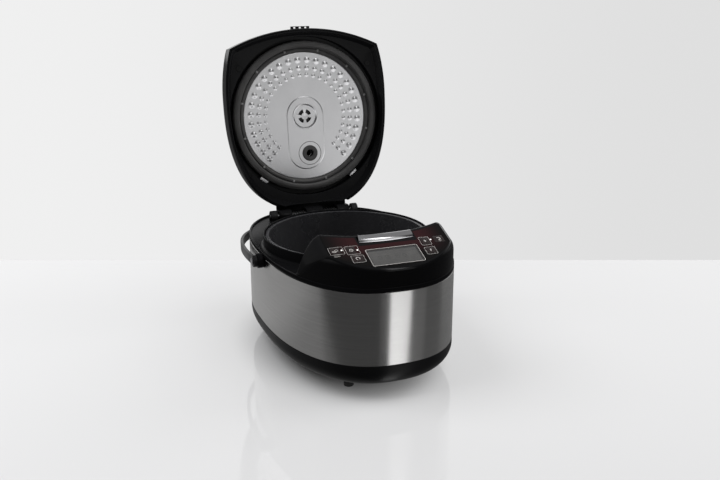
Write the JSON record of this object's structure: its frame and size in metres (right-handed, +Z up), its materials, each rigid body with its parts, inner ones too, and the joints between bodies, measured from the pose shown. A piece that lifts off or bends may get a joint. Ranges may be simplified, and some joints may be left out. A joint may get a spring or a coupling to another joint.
{
  "type": "rice cooker",
  "caption": "Countertop rice cooker with a hinged lid standing open, lift-out non-stick bowl, sloping key panel, lid release button and swinging carrying handle.",
  "frame": {"origin": "on the surface it stands on, under the centre of the open cooker's box", "axes": "+Z up, -Y towards the control panel, +X to the right seen from the panel"},
  "size_m": [0.292, 0.4493, 0.4477],
  "materials": {
    "steel_band": "finely brushed round the body",
    "base_black": "fine satin",
    "foot_rubber": "matte",
    "screw_steel": "zinc plated",
    "screw_black": "black oxide",
    "deck_black": "satin moulded",
    "liner_metal": "pressed",
    "heater_metal": "cast",
    "spring_wire": "drawn wire",
    "bowl_coating": "non-stick coated",
    "hinge_steel": "pressed and plated",
    "housing_black": "polished moulded",
    "overlay_gloss": "clear-coated dark",
    "inner_black": "moulded",
    "display_glass": "smooth",
    "display_grey": "unlit liquid crystal",
    "lamp_clear": "clear",
    "circuit_green": "solder mask",
    "key_black": "polished",
    "button_chrome": "chromed",
    "contact_brass": "bare",
    "handle_black": "satin",
    "lid_black": "polished moulded",
    "liner_black": "satin moulded",
    "inner_lid_metal": "satin anodised",
    "seal_silicone": "smooth silicone",
    "clip_chrome": "polished"
  },
  "bodies": {
    "body": {"base": "base_black", "feet": "foot_rubber", "base_screws": "screw_steel", "outer_band": "steel_band", "top_frame": "deck_black", "well_liner": "liner_metal", "heating_plate": "heater_metal", "sensor_spring": "spring_wire", "hinge_bracket": "inner_black", "hinge_pin": "hinge_steel", "hinge_springs": "spring_wire", "bracket_screws": "screw_steel", "panel_housing": "housing_black", "panel_overlay": "overlay_gloss", "panel_chassis": "inner_black", "display_window": "display_glass", "display_module": "display_grey", "indicator_lights": "lamp_clear", "control_board": "circuit_green", "tact_switches": "inner_black", "button_spring": "spring_wire", "latch_frame": "hinge_steel", "latch_pin": "hinge_steel", "power_board": "circuit_green", "power_inlet": "inner_black", "inlet_pins": "contact_brass", "handle_brackets": "deck_black", "handle_pins": "hinge_steel"},
    "lid": {"lid_shell": "lid_black", "lid_liner": "liner_black", "lid_hinge": "liner_black", "lid_catch": "inner_black", "lid_screws": "screw_black", "heat_shield": "liner_metal", "lid_clips": "clip_chrome", "valve_cup": "lid_black"},
    "inner_lid_set": {"inner_lid": "inner_lid_metal", "gasket_ring": "seal_silicone", "centre_vent": "inner_lid_metal", "outlet_seal": "seal_silicone"},
    "steam_valve": {"valve_cap": "lid_black"},
    "cooking_bowl": {"bowl": "bowl_coating"},
    "sensor_head": {"thermal_sensor": "heater_metal"},
    "carrying_handle": {"bail_handle": "handle_black"},
    "lid_button": {"release_button": "button_chrome"},
    "hook": {"latch_hook": "hinge_steel"},
    "menu_key_cap": {"menu_key": "key_black"},
    "timer_key_cap": {"timer_key": "key_black"},
    "minus_key_cap": {"minus_key": "key_black"},
    "plus_key_cap": {"plus_key": "key_black"},
    "start_key_cap": {"start_key": "key_black"},
    "cancel_key_cap": {"cancel_key": "key_black"}
  },
  "joints": [
    {"name": "lid_hinge_turn", "type": "hinge", "parent": "body", "child": "lid", "pos_m": [0, 0.1354, 0.16], "axis": [-1, 0, 0], "range_deg": [-96.8, 0], "stiffness_Nm_per_rad": 0.5, "springref_deg": 57.3},
    {"name": "handle_swing", "type": "hinge", "parent": "body", "child": "carrying_handle", "pos_m": [0, -0.027, 0.146], "axis": [1, 0, 0], "range_deg": [0, 10]},
    {"name": "bowl_lift", "type": "slide", "parent": "body", "child": "cooking_bowl", "axis": [0, 0, 1], "range_m": [0, 0.15]},
    {"name": "inner_lid_release", "type": "slide", "parent": "lid", "child": "inner_lid_set", "axis": [0, -0.993, 0.1184], "range_m": [0, 0.035]},
    {"name": "valve_cap_lift", "type": "slide", "parent": "lid", "child": "steam_valve", "axis": [0, 0.993, -0.1184], "range_m": [0, 0.03]},
    {"name": "sensor_press", "type": "slide", "parent": "body", "child": "sensor_head", "axis": [0, 0, -1], "range_m": [0, 0.002], "stiffness_N_per_m": 400, "springref_m": -0.004, "deforming": ["sensor_spring"]},
    {"name": "menu_key_press", "type": "slide", "parent": "body", "child": "menu_key_cap", "axis": [0, 0.3502, -0.9367], "range_m": [0, 0.0008], "stiffness_N_per_m": 1000, "springref_m": -0.0005},
    {"name": "timer_key_press", "type": "slide", "parent": "body", "child": "timer_key_cap", "axis": [0, 0.3502, -0.9367], "range_m": [0, 0.0008], "stiffness_N_per_m": 1000, "springref_m": -0.0005},
    {"name": "minus_key_press", "type": "slide", "parent": "body", "child": "minus_key_cap", "axis": [0, 0.3502, -0.9367], "range_m": [0, 0.0008], "stiffness_N_per_m": 1000, "springref_m": -0.0005},
    {"name": "plus_key_press", "type": "slide", "parent": "body", "child": "plus_key_cap", "axis": [0, 0.3502, -0.9367], "range_m": [0, 0.0008], "stiffness_N_per_m": 1000, "springref_m": -0.0005},
    {"name": "start_key_press", "type": "slide", "parent": "body", "child": "start_key_cap", "axis": [0, 0.3502, -0.9367], "range_m": [0, 0.0008], "stiffness_N_per_m": 1000, "springref_m": -0.0005},
    {"name": "cancel_key_press", "type": "slide", "parent": "body", "child": "cancel_key_cap", "axis": [0, 0.3502, -0.9367], "range_m": [0, 0.0008], "stiffness_N_per_m": 1000, "springref_m": -0.0005},
    {"name": "lid_button_press", "type": "slide", "parent": "body", "child": "lid_button", "axis": [0, 0, -1], "range_m": [0, 0.0025], "stiffness_N_per_m": 700, "springref_m": -0.004, "deforming": ["button_spring"]},
    {"name": "hook_swing", "type": "hinge", "parent": "body", "child": "hook", "pos_m": [0, -0.1622, 0.177], "axis": [1, 0, 0], "range_deg": [0, 16]}
  ],
  "couplings": [
    {"joint": "hook_swing", "follows": "lid_button_press", "rad_per_m": 111}
  ]
}
